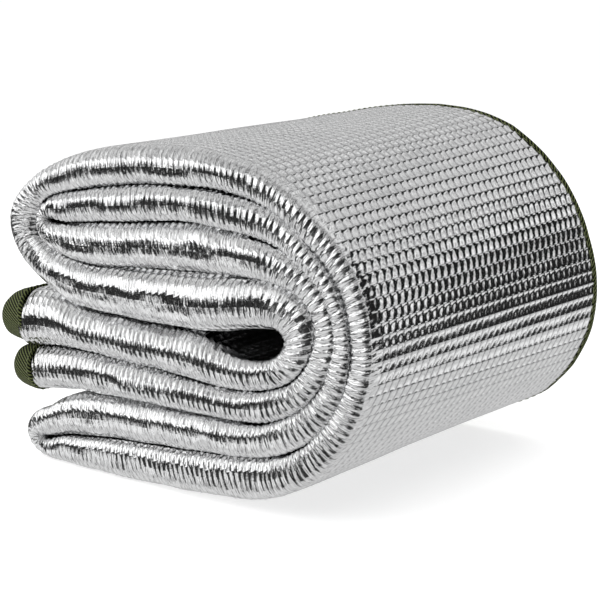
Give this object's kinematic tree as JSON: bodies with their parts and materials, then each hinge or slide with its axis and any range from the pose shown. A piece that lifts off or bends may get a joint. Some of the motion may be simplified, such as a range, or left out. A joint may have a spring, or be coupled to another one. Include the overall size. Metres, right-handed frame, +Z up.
{
  "type": "foam sleeping pad",
  "caption": "Foil-faced closed-cell foam sleeping pad with woven edge binding, folded into a compact bundle whose last fold opens.",
  "frame": {"origin": "centre of the bundle's box, on the surface that it lies on", "axes": "+X towards the big turn where the last fold bends, -Y towards the rounded noses of the lengthwise fold, +Z up"},
  "size_m": [0.2464, 0.154, 0.1575],
  "materials": {
    "metallised_film": "embossed mirror film",
    "foam_core": "closed-cell foam",
    "binding_tape": "woven twill tape",
    "thread": "twisted sewing thread"
  },
  "bodies": {
    "base": {"binding_tape_end_1": "binding_tape", "binding_tape_end_2": "binding_tape", "binding_tape_long_edge_base": "binding_tape", "film_layer_e": "metallised_film", "film_layer_f": "metallised_film", "film_layer_g": "metallised_film", "film_layer_h": "metallised_film", "film_turn_g_to_h": "metallised_film", "foam_layer_e": "foam_core", "foam_layer_f": "foam_core", "foam_layer_g": "foam_core", "foam_layer_h": "foam_core", "foam_turn_g_to_h": "foam_core", "sheet_edges_end_1": "foam_core", "sheet_edges_end_2": "foam_core", "stitching_end_1": "thread", "stitching_end_2": "thread"},
    "turn_1": {"binding_tape_long_edge_turn_1": "binding_tape", "film_turn_1_ah": "metallised_film", "film_turn_1_bg": "metallised_film", "film_turn_1_cf": "metallised_film", "film_turn_1_de": "metallised_film", "foam_turn_1_ah": "foam_core", "foam_turn_1_bg": "foam_core", "foam_turn_1_cf": "foam_core", "foam_turn_1_de": "foam_core"},
    "turn_2": {"binding_tape_long_edge_turn_2": "binding_tape", "film_turn_2_ah": "metallised_film", "film_turn_2_bg": "metallised_film", "film_turn_2_cf": "metallised_film", "film_turn_2_de": "metallised_film", "foam_turn_2_ah": "foam_core", "foam_turn_2_bg": "foam_core", "foam_turn_2_cf": "foam_core", "foam_turn_2_de": "foam_core"},
    "turn_3": {"binding_tape_long_edge_turn_3": "binding_tape", "film_turn_3_ah": "metallised_film", "film_turn_3_bg": "metallised_film", "film_turn_3_cf": "metallised_film", "film_turn_3_de": "metallised_film", "foam_turn_3_ah": "foam_core", "foam_turn_3_bg": "foam_core", "foam_turn_3_cf": "foam_core", "foam_turn_3_de": "foam_core"},
    "flap": {"binding_tape_long_edge_flap": "binding_tape", "film_layer_a": "metallised_film", "film_layer_b": "metallised_film", "film_layer_c": "metallised_film", "film_layer_d": "metallised_film", "film_turn_a_to_d": "metallised_film", "film_turn_b_to_c": "metallised_film", "foam_layer_a": "foam_core", "foam_layer_b": "foam_core", "foam_layer_c": "foam_core", "foam_layer_d": "foam_core", "foam_turn_a_to_d": "foam_core", "foam_turn_b_to_c": "foam_core"}
  },
  "joints": [
    {"name": "fold_open", "type": "hinge", "parent": "base", "child": "turn_1", "pos_m": [0.07459, 0, 0.00599], "axis": [0, 1, 0], "range_deg": [0, 45]},
    {"name": "fold_follow_1", "type": "hinge", "parent": "turn_1", "child": "turn_2", "pos_m": [0.11721, 0, 0.04861], "axis": [0, 1, 0], "range_deg": [0, 45]},
    {"name": "fold_follow_2", "type": "hinge", "parent": "turn_2", "child": "turn_3", "pos_m": [0.11721, 0, 0.10889], "axis": [0, 1, 0], "range_deg": [0, 45]},
    {"name": "fold_follow_3", "type": "hinge", "parent": "turn_3", "child": "flap", "pos_m": [0.07459, 0, 0.15151], "axis": [0, 1, 0], "range_deg": [0, 45]}
  ],
  "couplings": [
    {"joint": "fold_follow_1", "follows": "fold_open", "ratio": 1},
    {"joint": "fold_follow_2", "follows": "fold_open", "ratio": 1},
    {"joint": "fold_follow_3", "follows": "fold_open", "ratio": 1}
  ]
}
